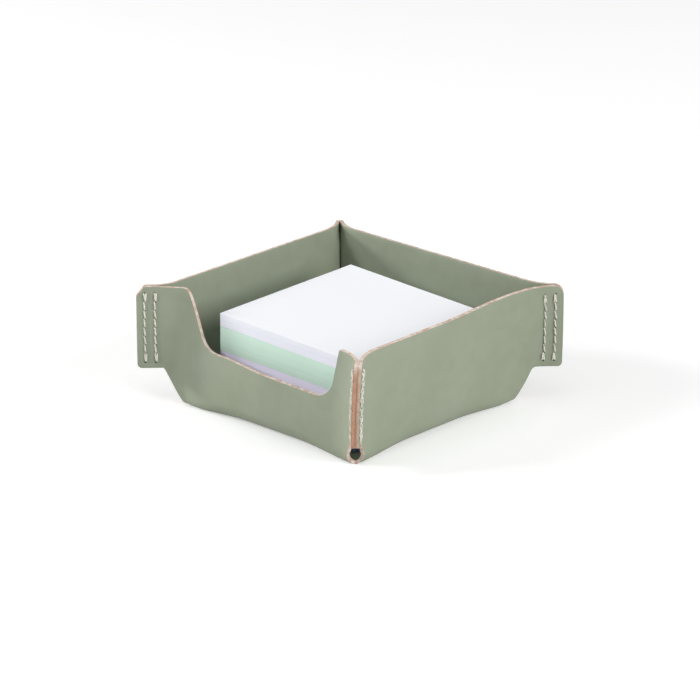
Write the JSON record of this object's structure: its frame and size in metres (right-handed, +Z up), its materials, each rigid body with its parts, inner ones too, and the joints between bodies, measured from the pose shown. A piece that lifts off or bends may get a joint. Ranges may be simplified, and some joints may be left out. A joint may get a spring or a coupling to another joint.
{
  "type": "memo holder",
  "caption": "Square leather memo tray with leaning walls sewn into corner fins, a finger scoop in front, and a loose block of coloured note sheets.",
  "frame": {"origin": "on the table under the middle of the tray's floor", "axes": "+Z up, -Y out through the front wall with the finger scoop, +X to the right seen from the front"},
  "size_m": [0.1518, 0.1468, 0.059],
  "materials": {
    "sage_leather": "smooth sage-green leather, matte on both faces, with raw pinkish-tan cut edges",
    "cream_thread": "cream twisted sewing thread",
    "white_paper": "matt white writing paper",
    "mint_paper": "matt pale mint writing paper",
    "lilac_paper": "matt pale lilac writing paper",
    "blue_paper": "matt pale blue writing paper"
  },
  "bodies": {
    "tray": {"tray_blank": "sage_leather", "needle_thread_front_left_outer": "cream_thread", "bobbin_thread_front_left_outer": "cream_thread", "needle_thread_front_left_inner": "cream_thread", "bobbin_thread_front_left_inner": "cream_thread", "needle_thread_front_right_outer": "cream_thread", "bobbin_thread_front_right_outer": "cream_thread", "needle_thread_front_right_inner": "cream_thread", "bobbin_thread_front_right_inner": "cream_thread", "needle_thread_back_right_outer": "cream_thread", "bobbin_thread_back_right_outer": "cream_thread", "needle_thread_back_right_inner": "cream_thread", "bobbin_thread_back_right_inner": "cream_thread", "needle_thread_back_left_outer": "cream_thread", "bobbin_thread_back_left_outer": "cream_thread", "needle_thread_back_left_inner": "cream_thread", "bobbin_thread_back_left_inner": "cream_thread"},
    "blue_block": {"blue_sheets": "blue_paper"},
    "lilac_block": {"lilac_sheets": "lilac_paper"},
    "mint_block": {"mint_sheets": "mint_paper"},
    "white_block": {"white_sheets": "white_paper"},
    "top_note": {"top_sheet": "white_paper"}
  },
  "joints": [
    {"name": "blue_lift", "type": "slide", "parent": "tray", "child": "blue_block", "axis": [0, 0, 1], "range_m": [0, 0.062]},
    {"name": "lilac_lift", "type": "slide", "parent": "blue_block", "child": "lilac_block", "axis": [0, 0, 1], "range_m": [0, 0.046]},
    {"name": "mint_lift", "type": "slide", "parent": "lilac_block", "child": "mint_block", "axis": [0, 0, 1], "range_m": [0, 0.034]},
    {"name": "white_lift", "type": "slide", "parent": "mint_block", "child": "white_block", "axis": [0, 0, 1], "range_m": [0, 0.021]},
    {"name": "top_sheet_lift", "type": "slide", "parent": "white_block", "child": "top_note", "axis": [0, 0, 1], "range_m": [0, 0.015]}
  ]
}
